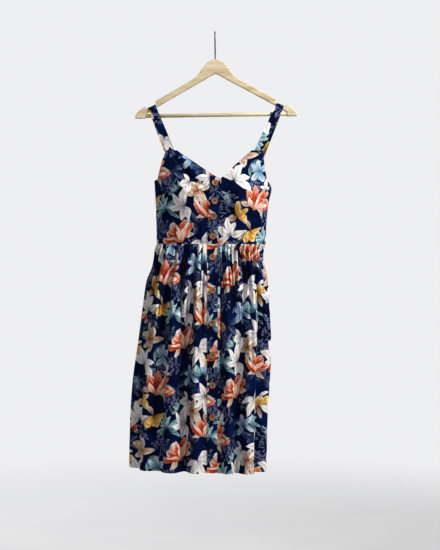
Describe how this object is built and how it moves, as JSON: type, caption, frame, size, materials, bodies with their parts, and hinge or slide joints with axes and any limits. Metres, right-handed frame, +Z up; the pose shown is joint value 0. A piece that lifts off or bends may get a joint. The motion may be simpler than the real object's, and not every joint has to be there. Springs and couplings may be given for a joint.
{
  "type": "sundress on a clothes hanger",
  "caption": "Button-front midi sundress with wide straps, a V neck and a gathered skirt, hanging by its straps on a flat wooden hanger with a wire hook.",
  "frame": {"origin": "the inside top of the hanger's hook, where it rests on a rod", "axes": "+Z up, the front of the dress faces -Y, +X is the wearer's left"},
  "size_m": [0.4602, 0.2064, 1.2035],
  "materials": {
    "printed_cloth": "matt plain weave with a floral print",
    "button": "polished coconut shell or wood",
    "hanger_wood": "pale wood with a satin varnish",
    "hook_steel": "plated wire"
  },
  "bodies": {
    "root": {"strap_left": "printed_cloth", "strap_right": "printed_cloth", "bodice_front_left": "printed_cloth", "bodice_front_right": "printed_cloth", "bodice_back": "printed_cloth", "bodice_band": "printed_cloth", "skirt_front_left": "printed_cloth", "skirt_front_right": "printed_cloth", "skirt_back": "printed_cloth", "skirt_band": "printed_cloth", "button_bodice_1": "button", "button_bodice_2": "button", "button_bodice_3": "button", "button_bodice_4": "button", "button_skirt_1": "button", "button_skirt_2": "button", "button_skirt_3": "button", "button_skirt_4": "button", "button_skirt_5": "button", "button_skirt_6": "button", "hanger_board": "hanger_wood", "hanger_bar": "hanger_wood", "hanger_hook": "hook_steel"}
  },
  "joints": []
}
